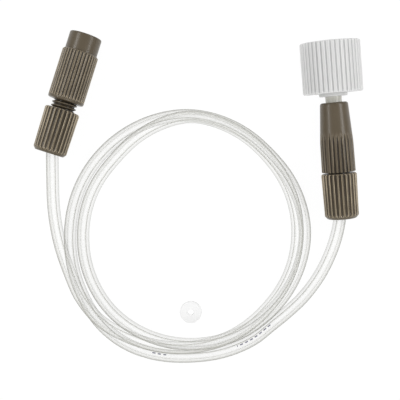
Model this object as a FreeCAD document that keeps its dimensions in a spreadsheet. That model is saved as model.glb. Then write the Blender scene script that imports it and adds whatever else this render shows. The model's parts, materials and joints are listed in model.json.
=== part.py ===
import FreeCAD, Part
import math
import os
import Sketcher
from FreeCAD import Placement, Rotation, Vector

# Gas line connector: a clear tube with a screwed fitting at each end.
# Row frame: X to the right and Y up as the set lies on a table, Z up, the table at Z = 0.
# Every fitting is modelled on its own axis: z = 0 is the mouth of the port that takes
# the tube nut, and +z points out of that port, along the way the tube leaves.

# All lengths in mm, angles in degrees.
SIZES = {
    # Left adapter: smooth collar and fluted barrel
    "collar_radius": 4.14,
    "collar_length": 4.5,
    "collar_bevel": 0.3,
    "barrel_radius": 4.63,
    "barrel_length": 13.1,
    "barrel_bevel": 0.4,
    "barrel_round": 0.55,
    "barrel_flutes": 32,
    "barrel_flute_radius": 0.3,
    "barrel_flute_depth": 0.25,
    "barrel_plain_band": 0.95,
    "open_port_depth": 7.3,
    # Ports for quarter-inch studs, drawn at the thread's core
    "port_radius": 2.75,
    "port_countersink": 0.45,
    "channel_radius": 0.8,
    # Right adapter: shouldered body with grooves in its lower half
    "body_length": 17.5,
    "body_top_radius": 3.48,
    "body_waist_radius": 4.16,
    "body_foot_radius": 4.25,
    "body_waist_height": 7.4,
    "body_round": 0.6,
    "body_groove_radius": 0.3,
    "body_groove_depth": 0.36,
    "body_groove_length": 9.2,
    "body_groove_pitch": 14.0,
    "grooves_per_group": 6,
    "groove_groups": 4,
    "body_web": 1.6,
    # Tube nut: fluted head and hollow stud
    "head_length": 11.5,
    "head_port_radius": 4.47,
    "head_outer_radius": 4.28,
    "head_bevel": 0.35,
    "head_end_band": 0.75,
    "head_end_bevel": 0.6,
    "head_flutes": 24,
    "head_flute_radius": 0.4,
    "head_flute_depth": 0.34,
    "stud_length": 8.0,
    "stud_radius": 2.65,
    "stud_bevel": 0.3,
    "stud_tip_step": 0.15,
    "nut_bore_radius": 1.7,
    "nut_mouth_radius": 2.75,
    "nut_flare_length": 5.5,
    "left_thread_showing": 2.3,
    "right_thread_showing": 0.4,
    # Ferrule between the stud's tip and the port's flat bottom
    "ferrule_standoff": 3.0,
    "ferrule_radius": 2.6,
    "ferrule_collar": 1.6,
    "ferrule_cone_radius": 2.45,
    "ferrule_tail_radius": 1.9,
    "ferrule_cone_length": 2.8,
    "ferrule_bore_radius": 1.61,
    "ferrule_clearance": 0.08,
    # Nipple: tapered stem, flange and sealing nose
    "stem_radius": 2.075,
    "stem_taper": 0.03,
    "stem_showing": 1.5,
    "socket_spare_depth": 0.4,
    "flange_radius": 5.3,
    "flange_thickness": 1.6,
    "sealing_nose_radius": 3.0,
    "sealing_nose_length": 1.2,
    "nipple_channel_radius": 1.0,
    # Coupling nut that turns on the nipple
    "coupling_radius": 7.5,
    "coupling_length": 12.8,
    "coupling_round": 0.6,
    "coupling_flutes": 40,
    "coupling_flute_radius": 0.28,
    "coupling_flute_depth": 0.2,
    "coupling_plain_band": 0.65,
    "coupling_thread_radius": 6.0,
    "coupling_relief_radius": 6.25,
    "coupling_relief_length": 3.0,
    "coupling_mouth_bevel": 0.5,
    "coupling_end_bevel": 0.45,
    "coupling_back_wall": 2.2,
    "hub_radius": 3.55,
    "hub_height": 0.8,
    "swivel_clearance": 0.08,
    # Loose sealing washer
    "washer_radius": 2.8,
    "washer_hole_radius": 0.8,
    "washer_thickness": 1.0,
    # Eighth-inch tube and the ring that its turns fill
    "tube_radius": 1.5875,
    "tube_end_gap": 0.1,
    "tube_straight_depth": 7.9,
    "tube_bend_depth": 2.55,
    "coil_radius": 29.5,
    "coil_section_radius": 3.25,
}

# Where the mouths of the two tube ports lie, and how the fittings point on the table.
LEFT_PORT_X, LEFT_PORT_Y = -33.77, 19.45
LEFT_LEAN = 17.5
RIGHT_PORT_X, RIGHT_PORT_Y = 35.65, 1.6
RIGHT_LEAN = -5.08
WASHER_X, WASHER_Y = -1.9, -34.64
COIL_X, COIL_Y = -2.6, -14.85

# The free tube from the nuts to the ring: chosen points, with a rounded turn at each.
# Two more points come before these, on the nut's axis inside its flare.
LEFT_TUBE_POINTS = (
    (-37.03, 1.33, 4.7),
    (-36.83, -8.17, 4.72),
    (-35.18, -17.17, 4.76),
    (-32.28, -25.17, 4.8),
    (-29.98, -30.57, 4.8),
)
RIGHT_TUBE_POINTS = (
    (35.42, -15.17, 3.95),
    (32.22, -23.47, 2.9),
    (27.52, -30.37, 2.0),
    (22.32, -35.17, 1.62),
    (18.52, -38.17, 1.6),
)
ARC_SHARE = 0.45


class Size:
    """A length that keeps its formula over the sheet together with its number."""

    def __init__(self, text, value):
        self.text = text
        self.value = value

    @staticmethod
    def of(other):
        return other if isinstance(other, Size) else Size(f"{other} mm", other)

    def __add__(self, other):
        other = Size.of(other)
        return Size(f"({self.text} + {other.text})", self.value + other.value)

    def __sub__(self, other):
        other = Size.of(other)
        return Size(f"({self.text} - {other.text})", self.value - other.value)

    def __neg__(self):
        return Size(f"(-{self.text})", -self.value)

    def times(self, number):
        return Size(f"({self.text} * {number})", self.value * number)

    def by(self, other):
        return Size(f"({self.text} * {other.text} / 1 mm)", self.value * other.value)


NOUGHT = Size("0 mm", 0.0)


def size(alias):
    return Size(f"sizes.{alias} * 1 mm", SIZES[alias])


doc = FreeCAD.newDocument("gas_line_connector")
sheet = doc.addObject("Spreadsheet::Sheet", "sizes")
for row, (alias, value) in enumerate(SIZES.items(), start=1):
    sheet.set(f"A{row}", alias)
    sheet.set(f"B{row}", str(value))
    sheet.setAlias(f"B{row}", alias)
doc.recompute()


def origin_feature(body, role):
    return next(f for f in body.Origin.OriginFeatures if f.Role == role)


def hold(sketch, geometry, end, across, along):
    """Hold one end of a line at (across, along) from the sketch's origin."""
    for kind, axis, place in (("DistanceX", -2, across), ("DistanceY", -1, along)):
        if place is NOUGHT:
            sketch.addConstraint(Sketcher.Constraint("PointOnObject", geometry, end, axis))
            continue
        rule = Sketcher.Constraint(kind, -1, 1, geometry, end, place.value)
        index = sketch.addConstraint(rule)
        sketch.setExpression(f"Constraints[{index}]", place.text)


def outline(body, name, corners, axis_line=None):
    """A closed outline in the body's XZ plane through corners given as (radius, height)."""
    sketch = body.newObject("Sketcher::SketchObject", name)
    sketch.AttachmentSupport = [(origin_feature(body, "XZ_Plane"), "")]
    sketch.MapMode = "FlatFace"
    spots = [Vector(across.value, along.value, 0) for across, along in corners]
    count = len(spots)
    for i in range(count):
        sketch.addGeometry(Part.LineSegment(spots[i], spots[(i + 1) % count]), False)
    for i in range(count):
        sketch.addConstraint(Sketcher.Constraint("Coincident", i, 2, (i + 1) % count, 1))
    for i, (across, along) in enumerate(corners):
        hold(sketch, i, 1, across, along)
    if axis_line:
        ends = [Vector(across.value, along.value, 0) for across, along in axis_line]
        line = sketch.addGeometry(Part.LineSegment(*ends), True)
        for end, (across, along) in enumerate(axis_line, start=1):
            hold(sketch, line, end, across, along)
    return sketch


def new_body(label):
    body = doc.addObject("PartDesign::Body", label)
    body.Label = label
    return body


def turn(body, name, corners):
    """Turn an outline about the fitting's axis."""
    sketch = outline(body, f"{name}_outline", corners)
    blank = body.newObject("PartDesign::Revolution", name)
    blank.Profile = sketch
    blank.ReferenceAxis = (sketch, ["V_Axis"])
    blank.Angle = 360
    body.Tip = blank
    return blank


def flute_cut(body, name, surface_radius, depth, cutter_radius, start, stop):
    """Cut one flute with a pointed round cutter that lies along the axis."""
    line = surface_radius - depth + cutter_radius
    direction = 1.0 if stop.value > start.value else -1.0
    shoulder = stop - cutter_radius.times(direction)
    corners = (
        (line, start),
        (line + cutter_radius, start),
        (line + cutter_radius, shoulder),
        (line, stop),
    )
    sketch = outline(body, f"{name}_cutter", corners, ((line, start), (line, stop)))
    cut = body.newObject("PartDesign::Groove", name)
    cut.Profile = sketch
    cut.ReferenceAxis = (sketch, ["Axis0"])
    cut.Angle = 360
    body.Tip = cut
    return cut


def polar(body, name, count_text, angle_text):
    pattern = body.newObject("PartDesign::PolarPattern", name)
    pattern.Axis = (origin_feature(body, "Z_Axis"), [""])
    pattern.setExpression("Angle", angle_text)
    pattern.setExpression("Occurrences", count_text)
    return pattern


def round_rim(body, name, radius, at_radius, at_height):
    """Round the circular edge of the last feature that lies at the given radius and height."""
    doc.recompute()
    base = body.Tip
    rims = [
        f"Edge{i}"
        for i, edge in enumerate(base.Shape.Edges, start=1)
        if isinstance(edge.Curve, Part.Circle)
        and abs(edge.Curve.Radius - at_radius.value) < 1e-4
        and abs(edge.Curve.Center.z - at_height.value) < 1e-4
    ]
    fillet = body.newObject("PartDesign::Fillet", name)
    fillet.Base = (base, rims)
    fillet.setExpression("Radius", radius.text)
    body.Tip = fillet
    return fillet


def fitting_frame(port_x, port_y, port_z, lean, dip):
    """Placement that carries a fitting's own axis to its place on the table."""
    lean, dip = math.radians(lean), math.radians(dip)
    along = Vector(-math.sin(lean) * math.cos(dip), -math.cos(lean) * math.cos(dip), -math.sin(dip))
    side = Vector(0, 0, 1).cross(along).normalize()
    up = along.cross(side)
    return Placement(Vector(port_x, port_y, port_z), Rotation(side, up, along, "ZXY"))


def rolled(frame, angle):
    return frame.multiply(Placement(Vector(), Rotation(Vector(0, 0, 1), angle)))


def half_pitch(alias):
    """Roll that turns a ridge, not a flute, to the bottom of a fluted piece."""
    return 180.0 / SIZES[alias]


def port_depth(showing):
    """Depth of a tube port whose tight stud leaves room for the ferrule at the bottom."""
    return size("stud_length") - showing + size("ferrule_standoff")


def socket_depth(showing):
    """Depth of the tapered socket, which leaves a web between it and the port."""
    return size("body_length") - port_depth(showing) - size("body_web")


def make_left_adapter(frame, showing):
    body = new_body("left_adapter")
    foot = -size("barrel_length")
    top = foot - size("collar_length")
    port_end = -port_depth(showing)
    open_end = top + size("open_port_depth")
    sink = size("port_countersink")
    bore = size("port_radius")
    bevel = size("barrel_bevel")
    corners = (
        (size("channel_radius"), port_end),
        (bore, port_end),
        (bore, -sink),
        (bore + sink, NOUGHT),
        (size("barrel_radius"), NOUGHT),
        (size("barrel_radius"), foot + bevel),
        (size("barrel_radius") - bevel, foot),
        (size("collar_radius"), foot),
        (size("collar_radius"), top + size("collar_bevel")),
        (size("collar_radius") - size("collar_bevel"), top),
        (bore + sink, top),
        (bore, top + sink),
        (bore, open_end),
        (size("channel_radius"), open_end),
    )
    turn(body, "left_adapter_blank", corners)
    round_rim(body, "left_adapter_rim", size("barrel_round"), size("barrel_radius"), NOUGHT)
    cut = flute_cut(
        body,
        "barrel_flute",
        size("barrel_radius"),
        size("barrel_flute_depth"),
        size("barrel_flute_radius"),
        foot - size("barrel_flute_radius"),
        -size("barrel_plain_band"),
    )
    pattern = polar(body, "barrel_flutes_ring", "sizes.barrel_flutes", "360 deg")
    pattern.Originals = [cut]
    body.Tip = pattern
    body.Placement = rolled(frame, half_pitch("barrel_flutes"))
    return body


def make_right_adapter(frame, showing):
    body = new_body("right_adapter")
    top = -size("body_length")
    port_end = -port_depth(showing)
    sink = size("port_countersink")
    bore = size("port_radius")
    depth = socket_depth(showing)
    socket_end = top + depth
    mouth = size("stem_radius") - size("stem_showing").by(size("stem_taper"))
    floor = mouth - depth.by(size("stem_taper"))
    corners = (
        (size("channel_radius"), port_end),
        (bore, port_end),
        (bore, -sink),
        (bore + sink, NOUGHT),
        (size("body_foot_radius"), NOUGHT),
        (size("body_waist_radius"), -size("body_waist_height")),
        (size("body_top_radius"), top),
        (mouth, top),
        (floor, socket_end),
        (size("channel_radius"), socket_end),
    )
    turn(body, "right_adapter_blank", corners)
    round_rim(body, "right_adapter_rim", size("body_round"), size("body_top_radius"), top)
    cut = flute_cut(
        body,
        "body_groove",
        size("body_foot_radius"),
        size("body_groove_depth"),
        size("body_groove_radius"),
        size("body_groove_radius"),
        -size("body_groove_length"),
    )
    span = "sizes.body_groove_pitch * (sizes.grooves_per_group - 1) * 1 deg"
    group = polar(body, "groove_group", "sizes.grooves_per_group", span)
    groups = polar(body, "groove_groups_ring", "sizes.groove_groups", "360 deg")
    pattern = body.newObject("PartDesign::MultiTransform", "body_grooves")
    pattern.Originals = [cut]
    pattern.Transformations = [group, groups]
    body.Tip = pattern
    middle = SIZES["body_groove_pitch"] * (SIZES["grooves_per_group"] - 1) / 2
    body.Placement = rolled(frame, -middle)
    return body


def make_nut(label, frame, showing):
    body = new_body(label)
    face = showing
    end = face + size("head_length")
    tip = face - size("stud_length")
    bevel = size("head_bevel")
    seat = size("ferrule_clearance")
    seat_depth = size("ferrule_collar") + size("ferrule_cone_length") - size("ferrule_standoff")
    corners = (
        (size("ferrule_tail_radius") + seat, tip + seat_depth),
        (tip_radius(), tip),
        (size("stud_radius") - size("stud_tip_step"), tip),
        (size("stud_radius"), tip + size("stud_bevel")),
        (size("stud_radius"), face),
        (size("head_port_radius") - bevel, face),
        (size("head_port_radius"), face + bevel),
        (size("head_outer_radius"), end - size("head_end_band")),
        (size("head_outer_radius") - size("head_end_bevel"), end),
        (size("nut_mouth_radius"), end),
        (size("nut_bore_radius"), end - size("nut_flare_length")),
        (size("nut_bore_radius"), tip + seat_depth),
    )
    turn(body, f"{label}_blank", corners)
    cut = flute_cut(
        body,
        f"{label}_flute",
        size("head_outer_radius"),
        size("head_flute_depth"),
        size("head_flute_radius"),
        face - size("head_flute_radius"),
        end - size("head_end_band"),
    )
    pattern = polar(body, f"{label}_flutes_ring", "sizes.head_flutes", "360 deg")
    pattern.Originals = [cut]
    body.Tip = pattern
    body.Placement = rolled(frame, half_pitch("head_flutes"))
    return body


def tip_radius():
    """Mouth of the cone in the stud's tip, over the ferrule's cone with its clearance."""
    fall = (SIZES["ferrule_cone_radius"] - SIZES["ferrule_tail_radius"]) / SIZES["ferrule_cone_length"]
    reach = size("ferrule_standoff") - size("ferrule_collar")
    return size("ferrule_cone_radius") + size("ferrule_clearance") - reach.times(round(fall, 6))


def make_ferrule(label, frame, showing):
    body = new_body(label)
    seat = -port_depth(showing)
    shoulder = seat + size("ferrule_collar")
    tail = shoulder + size("ferrule_cone_length")
    corners = (
        (size("ferrule_bore_radius"), seat),
        (size("ferrule_radius"), seat),
        (size("ferrule_radius"), shoulder),
        (size("ferrule_cone_radius"), shoulder),
        (size("ferrule_tail_radius"), tail),
        (size("ferrule_bore_radius"), tail),
    )
    turn(body, f"{label}_turned", corners)
    body.Placement = frame
    return body


def coupling_back():
    return -(size("body_length") + size("stem_showing") + size("hub_height"))


def make_nipple(frame, showing):
    body = new_body("swivel_nipple")
    mouth = -size("body_length")
    inside = socket_depth(showing) - size("socket_spare_depth")
    tip = mouth + inside
    seat = coupling_back() - size("coupling_back_wall") - size("swivel_clearance")
    face = seat - size("flange_thickness")
    nose = face - size("sealing_nose_length")
    stem_end = mouth - size("stem_showing")
    small = size("stem_radius") - (size("stem_showing") + inside).by(size("stem_taper"))
    corners = (
        (size("nipple_channel_radius"), tip),
        (small, tip),
        (size("stem_radius"), stem_end),
        (size("stem_radius"), seat),
        (size("flange_radius"), seat),
        (size("flange_radius"), face),
        (size("sealing_nose_radius"), face),
        (size("sealing_nose_radius"), nose),
        (size("nipple_channel_radius"), nose),
    )
    turn(body, "swivel_nipple_turned", corners)
    body.Placement = frame
    return body


def make_coupling_nut(frame):
    body = new_body("coupling_nut")
    back = coupling_back()
    end = back - size("coupling_length")
    hole = size("stem_radius") + size("swivel_clearance")
    thread = size("coupling_thread_radius")
    bevel = size("coupling_mouth_bevel")
    outer_bevel = size("coupling_end_bevel")
    inner = back - size("coupling_back_wall")
    relief_end = inner - size("coupling_relief_length")
    corners = (
        (hole, inner),
        (hole, back + size("hub_height")),
        (size("hub_radius"), back + size("hub_height")),
        (size("hub_radius"), back),
        (size("coupling_radius"), back),
        (size("coupling_radius"), end + outer_bevel),
        (size("coupling_radius") - outer_bevel, end),
        (thread + bevel, end),
        (thread, end + bevel),
        (thread, relief_end),
        (size("coupling_relief_radius"), relief_end),
        (size("coupling_relief_radius"), inner),
    )
    turn(body, "coupling_nut_blank", corners)
    round_rim(body, "coupling_back_rim", size("coupling_round"), size("coupling_radius"), back)
    cut = flute_cut(
        body,
        "coupling_flute",
        size("coupling_radius"),
        size("coupling_flute_depth"),
        size("coupling_flute_radius"),
        end - size("coupling_flute_radius"),
        back - size("coupling_plain_band"),
    )
    pattern = polar(body, "coupling_flutes_ring", "sizes.coupling_flutes", "360 deg")
    pattern.Originals = [cut]
    body.Tip = pattern
    body.Placement = rolled(frame, half_pitch("coupling_flutes"))
    return body


def make_washer():
    body = new_body("sealing_washer")
    corners = (
        (size("washer_hole_radius"), NOUGHT),
        (size("washer_radius"), NOUGHT),
        (size("washer_radius"), size("washer_thickness")),
        (size("washer_hole_radius"), size("washer_thickness")),
    )
    turn(body, "sealing_washer_disc", corners)
    body.Placement = Placement(Vector(WASHER_X, WASHER_Y, 0), Rotation())
    return body


def make_coil():
    ring = doc.addObject("Part::Torus", "tube_coil")
    ring.Label = "tube_coil"
    ring.setExpression("Radius1", size("coil_radius").text)
    ring.setExpression("Radius2", size("coil_section_radius").text)
    ring.Placement = Placement(Vector(COIL_X, COIL_Y, SIZES["coil_section_radius"]), Rotation())
    return ring


def inside_nut(showing, depth):
    """Height of a place that lies this deep inside the nut's outer face."""
    return showing + size("head_length") - size(depth)


def make_tube_end(label, frame, showing):
    """The straight stretch of tube that the ferrule grips."""
    rod = doc.addObject("Part::Cylinder", label)
    rod.Label = label
    low = size("tube_end_gap") - port_depth(showing)
    high = inside_nut(showing, "tube_straight_depth")
    rod.setExpression("Radius", size("tube_radius").text)
    rod.setExpression("Height", (high - low).text)
    rod.Placement = frame.multiply(Placement(Vector(0, 0, low.value), Rotation()))
    return rod


def rounded_path(points):
    """Straight runs joined by tangent arcs, each as large as its two runs allow."""
    edges = []
    length = 0.0
    radii = []
    last = points[0]
    for before, corner, after in zip(points, points[1:], points[2:]):
        back = (before - corner).normalize()
        onward = (after - corner).normalize()
        half_turn = (math.pi - back.getAngle(onward)) / 2
        reach = ARC_SHARE * min((before - corner).Length, (after - corner).Length)
        radius = reach / math.tan(half_turn)
        arc_start = corner + back * reach
        arc_end = corner + onward * reach
        inward = (back + onward).normalize()
        middle = corner + inward * (radius / math.cos(half_turn) - radius)
        edges.append(Part.LineSegment(last, arc_start).toShape())
        edges.append(Part.Arc(arc_start, middle, arc_end).toShape())
        length += (arc_start - last).Length + 2 * half_turn * radius
        radii.append(round(radius, 1))
        last = arc_end
    edges.append(Part.LineSegment(last, points[-1]).toShape())
    length += (points[-1] - last).Length
    return Part.Wire(edges), length, radii


def make_free_tube(label, frame, showing, points):
    """The free tube from inside the nut's flare to the ring of turns."""
    heights = [inside_nut(showing, depth) for depth in ("tube_straight_depth", "tube_bend_depth")]
    on_axis = [frame.multVec(Vector(0, 0, height.value)) for height in heights]
    path, length, radii = rounded_path(on_axis + [Vector(*point) for point in points])
    first_way = (on_axis[1] - on_axis[0]).normalize()
    section = Part.Wire(Part.makeCircle(SIZES["tube_radius"], on_axis[0], first_way))
    tube = doc.addObject("Part::Feature", label)
    tube.Label = label
    tube.Shape = path.makePipeShell([section], True, False)
    expected = math.pi * SIZES["tube_radius"] ** 2 * length
    share = tube.Shape.Volume / expected
    print(f"{label}: {length:.1f} mm, radii {radii}, volume over section x length {share:.4f}")
    return tube


def dip_on_table():
    """How far the right fitting's axis dips towards its tube, and its height at the port.

    It rests on the rounded back rim of the coupling nut and on the nut's end band.
    """
    rim = SIZES["coupling_round"]
    rim_height = -(SIZES["body_length"] + SIZES["stem_showing"] + SIZES["hub_height"]) - rim
    rim_radius = SIZES["coupling_radius"] - rim
    band_height = SIZES["right_thread_showing"] + SIZES["head_length"] - SIZES["head_end_band"]
    band_radius = SIZES["head_outer_radius"]
    run = band_height - rim_height
    rise = rim_radius - band_radius
    dip = math.atan2(rise, run) + math.asin(rim / math.hypot(run, rise))
    height = band_height * math.sin(dip) + band_radius * math.cos(dip)
    return math.degrees(dip), height


left_frame = fitting_frame(LEFT_PORT_X, LEFT_PORT_Y, SIZES["barrel_radius"], LEFT_LEAN, 0.0)
dip, right_height = dip_on_table()
right_frame = fitting_frame(RIGHT_PORT_X, RIGHT_PORT_Y, right_height, RIGHT_LEAN, dip)

left_showing = size("left_thread_showing")
right_showing = size("right_thread_showing")

nodes = [
    make_left_adapter(left_frame, left_showing),
    make_nut("left_nut", left_frame, left_showing),
    make_ferrule("left_ferrule", left_frame, left_showing),
    make_right_adapter(right_frame, right_showing),
    make_nut("right_nut", right_frame, right_showing),
    make_ferrule("right_ferrule", right_frame, right_showing),
    make_nipple(right_frame, right_showing),
    make_coupling_nut(right_frame),
    make_washer(),
    make_tube_end("left_tube_end", left_frame, left_showing),
    make_tube_end("right_tube_end", right_frame, right_showing),
    make_free_tube("left_tube", left_frame, left_showing, LEFT_TUBE_POINTS),
    make_free_tube("right_tube", right_frame, right_showing, RIGHT_TUBE_POINTS),
    make_coil(),
]
doc.recompute()

for item in doc.Objects:
    if "Invalid" in item.State or "Error" in item.State:
        raise RuntimeError(f"{item.Label} did not build")

os.makedirs("parts", exist_ok=True)
for node in nodes:
    if node.Shape.isNull() or not node.Shape.isValid():
        raise RuntimeError(f"{node.Label} has no sound shape")
    node.Shape.exportStep(f"parts/{node.Label}.step")
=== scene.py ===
"""Looks of a gas line connector: fluted screw fittings and a clear coiled tube, seen from above.

Every fitting is a surface worked out on a grid of outline rows and angles around the fitting's own
axis. Flutes are cut and threads are raised as formulas on that grid. The tube is swept along one
smooth spline from the bottom of one port to the bottom of the other.

Sizes are in millimetres on a fitting's own axis, where height 0 is the mouth of the port that takes
the tube nut and heights grow along the way the tube leaves. The row frame is in metres.
"""

from __future__ import annotations

import json
import logging
import math
from dataclasses import dataclass
from enum import Enum
from typing import Sequence

import bpy
import numpy as np
from numpy.typing import NDArray
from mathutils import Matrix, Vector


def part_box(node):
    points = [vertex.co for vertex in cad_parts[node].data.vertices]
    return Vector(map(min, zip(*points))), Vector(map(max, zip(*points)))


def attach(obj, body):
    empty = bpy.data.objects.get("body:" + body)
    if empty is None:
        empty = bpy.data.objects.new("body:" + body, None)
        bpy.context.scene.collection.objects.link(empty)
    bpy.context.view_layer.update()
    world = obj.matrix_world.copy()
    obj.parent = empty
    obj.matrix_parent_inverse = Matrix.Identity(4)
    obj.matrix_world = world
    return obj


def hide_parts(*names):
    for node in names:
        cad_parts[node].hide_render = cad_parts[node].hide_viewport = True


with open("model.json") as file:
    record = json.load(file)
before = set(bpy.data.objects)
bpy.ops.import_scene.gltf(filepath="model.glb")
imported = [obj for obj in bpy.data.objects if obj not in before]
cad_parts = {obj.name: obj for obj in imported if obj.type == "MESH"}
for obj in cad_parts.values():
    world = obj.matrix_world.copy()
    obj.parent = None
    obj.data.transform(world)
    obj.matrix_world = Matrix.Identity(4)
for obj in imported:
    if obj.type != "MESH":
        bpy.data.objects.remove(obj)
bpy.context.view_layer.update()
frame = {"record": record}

Grid = NDArray[np.float64]
Colour = tuple[float, float, float]
Point = tuple[float, float, float]
Stretch = tuple[float, float]
Socket = bpy.types.NodeSocket
Value = float | Colour | Socket
Feeds = dict[str | int, Value]

MM = 0.001
FULL_TURN = 2.0 * math.pi
QUARTER = 0.25

# Rows around an eased corner, and the largest share of a run that its easing may take
CORNER_ROWS = 5
LONGEST_EASE = 0.45
# Easing of a corner that is all but sharp, and the step between rows where little is seen
SHARP = 0.03
COARSE = 0.8
# How far an open flute runs past the end of its piece
OVERRUN = 1.0
# Bulge between neighbouring columns that gives a flute's edge its full painted highlight
FULL_BULGE = 0.016

log = logging.getLogger("gas_line_connector")


class Slot(Enum):
    """The record's material slots."""

    BROWN = "brown_plastic"
    FERRULE = "ferrule_plastic"
    PALE = "pale_plastic"
    WHITE = "white_plastic"
    WASHER = "washer_plastic"
    TUBE = "clear_tube"


class FluteEnd(Enum):
    """How a flute stops: it runs out of the piece, or ends in a round run-out."""

    OPEN = "open"
    ROUND = "round"


def linear(*screen: int) -> Colour:
    """Turn a screen colour into the linear colour that a shader takes.

    Args:
        screen: Red, green and blue on the screen, from 0 to 255.

    Returns:
        The same colour in linear light.
    """
    share = np.array(screen) / 255.0
    curve = np.where(share <= 0.04045, share / 12.92, ((share + 0.055) / 1.055) ** 2.4)
    return tuple(curve.tolist())


def new_object(name: str, data: bpy.types.ID) -> bpy.types.Object:
    """Make an object and put it into the scene.

    Args:
        name: The object's name.
        data: Its mesh, curve, camera or lamp.

    Returns:
        The object.
    """
    made = bpy.data.objects.new(name, data)
    bpy.context.scene.collection.objects.link(made)
    return made


# Shapes on a fitting's own axis


@dataclass(frozen=True)
class Knot:
    """A corner of a turned piece's outline.

    The run that starts at the knot is divided so that no row is wider than its step.
    """

    radius: float
    height: float
    ease: float = 0.06
    step: float = 0.4


@dataclass(frozen=True)
class Cutter:
    """The round bar that cuts a piece's flutes, and how strong their painted shade and highlight are.

    Tip is the length of a round run-out, and softness is how gently the cut meets the surface.
    Shade scales the painted shade in the grooves, and shine the painted highlight on the edges.
    """

    radius: float
    depth: float
    tip: float = 0.7
    softness: float = 0.022
    shade: float = 1.0
    shine: float = 1.0


@dataclass(frozen=True)
class Flutes:
    """Straight flutes along a turned piece, as a round cutter leaves them."""

    cutter: Cutter
    centres: tuple[float, ...]
    surface: float
    low: float
    high: float
    low_end: FluteEnd = FluteEnd.OPEN
    high_end: FluteEnd = FluteEnd.OPEN

    def cut(self, radius: Grid, height: Grid, angle: Grid) -> Grid:
        """Work out how deep the flutes go into a surface.

        The cutter is a round bar on a line at the flute's own radius. Its near side is at
        line x cos(a) - sqrt(bar^2 - (line x sin(a))^2), where a is the angle to the flute's middle,
        and the bar thins out elliptically over the tip. The cut is eased with a soft maximum.

        Args:
            radius: Radius of the plain surface.
            height: Height of each point.
            angle: Angle of each point around the axis.

        Returns:
            Depth to take off the radius, 0 where no flute runs.
        """
        middles = np.radians(self.centres)[:, None]
        apart = (angle[0][None, :] - middles + math.pi) % FULL_TURN - math.pi
        nearest = apart[np.abs(apart).argmin(axis=0), np.arange(apart.shape[1])][None, :]
        line = self.surface - self.cutter.depth + self.cutter.radius
        bar = self.cutter.radius * self.thickness(height)
        room = bar**2 - (line * np.sin(nearest)) ** 2
        wall = line * np.cos(nearest) - np.sqrt(np.maximum(room, 0.0))
        amount = np.where(room > 0.0, radius - wall, -1.0)
        softness = self.cutter.softness
        return np.where(room > 0.0, softness * np.logaddexp(0.0, amount / softness), 0.0)

    def thickness(self, height: Grid) -> Grid:
        """Work out how thick the bar is: 1 inside, sqrt(1 - t^2) over a round tip and 0 past an end.

        Args:
            height: Height of each point.

        Returns:
            The share of the bar's full radius.
        """
        into = np.zeros_like(height)
        for end, past in ((self.low_end, self.low - height), (self.high_end, height - self.high)):
            tip = np.clip(past / self.cutter.tip + 1.0, 0.0, 1.0)
            into = np.maximum(into, tip if end is FluteEnd.ROUND else 1.0 * (past > 0.0))
        return np.sqrt(1.0 - into**2)


@dataclass(frozen=True)
class Thread:
    """A right-hand screw thread on the outside of a stud or in the wall of a port.

    Root and flank are shares of half a pitch. Only a surface that lies between a little below the
    core and a little above the crest takes the thread.
    """

    core: float
    rise: float
    pitch: float
    low: float
    high: float
    low_fade: float = 0.8
    high_fade: float = 0.05
    root: float = 0.2
    flank: float = 0.55
    below: float = 0.02
    above: float = 0.05

    def raised(self, radius: Grid, height: Grid, angle: Grid) -> tuple[Grid, Grid]:
        """Lift the surface onto the thread.

        The thread's phase is height / pitch - angle / full turn. Its ridge is a triangle wave of
        the phase with flattened crests and roots, which fades out at both ends.

        Args:
            radius: Radius of the plain surface.
            height: Height of each point.
            angle: Angle of each point around the axis.

        Returns:
            The radius with the thread on it, and how deep in the thread's root each point lies, as the
            mask of painted shade in the roots.
        """
        phase = (height / self.pitch - angle / FULL_TURN) % 1.0
        wave = np.clip((1.0 - np.abs(2.0 * phase - 1.0) - self.root) / self.flank, 0.0, 1.0)
        fade_in = np.clip((height - self.low) / self.low_fade, 0.0, 1.0)
        fade_out = np.clip((self.high - height) / self.high_fade, 0.0, 1.0)
        ridge = wave * wave * (3.0 - 2.0 * wave) * fade_in * fade_out
        skin = (radius > self.core - self.below) & (radius < self.core + self.rise + self.above)
        lifted = np.where(skin, np.maximum(radius, self.core + self.rise * ridge), radius)
        return lifted, (fade_in * fade_out > 0.0) * skin * (1.0 - ridge)


@dataclass(frozen=True)
class Seat:
    """Where a turned piece lies: a point on its axis, and three directions of the row frame."""

    origin: Grid
    side: Grid
    up: Grid
    along: Grid

    @classmethod
    def of_joint(cls, name: str) -> Seat:
        """Take the seat of a fitting from one of its joints, whose axis lies level.

        Args:
            name: The joint in the record.

        Returns:
            A seat whose heights grow along the joint's axis and whose side direction is level.
        """
        joint = next(j for j in frame["record"]["behaviour"]["joints"] if j["name"] == name)
        way = np.array(joint["axis"]) / np.linalg.norm(joint["axis"])
        side = np.cross([0.0, 0.0, 1.0], way)
        side /= np.linalg.norm(side)
        return cls(np.array(joint["pos_m"]), side, np.cross(way, side), way)

    def place(self, across: Grid, rise: Grid, height: Grid) -> Grid:
        """Carry points given in millimetres on the piece's own axes into the row frame."""
        offset = across[..., None] * self.side + rise[..., None] * self.up + height[..., None] * self.along
        return self.origin + MM * offset

    def on_line(self, height: float) -> Grid:
        """The point of the axis at a height, in the row frame."""
        return self.origin + MM * height * self.along


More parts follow.
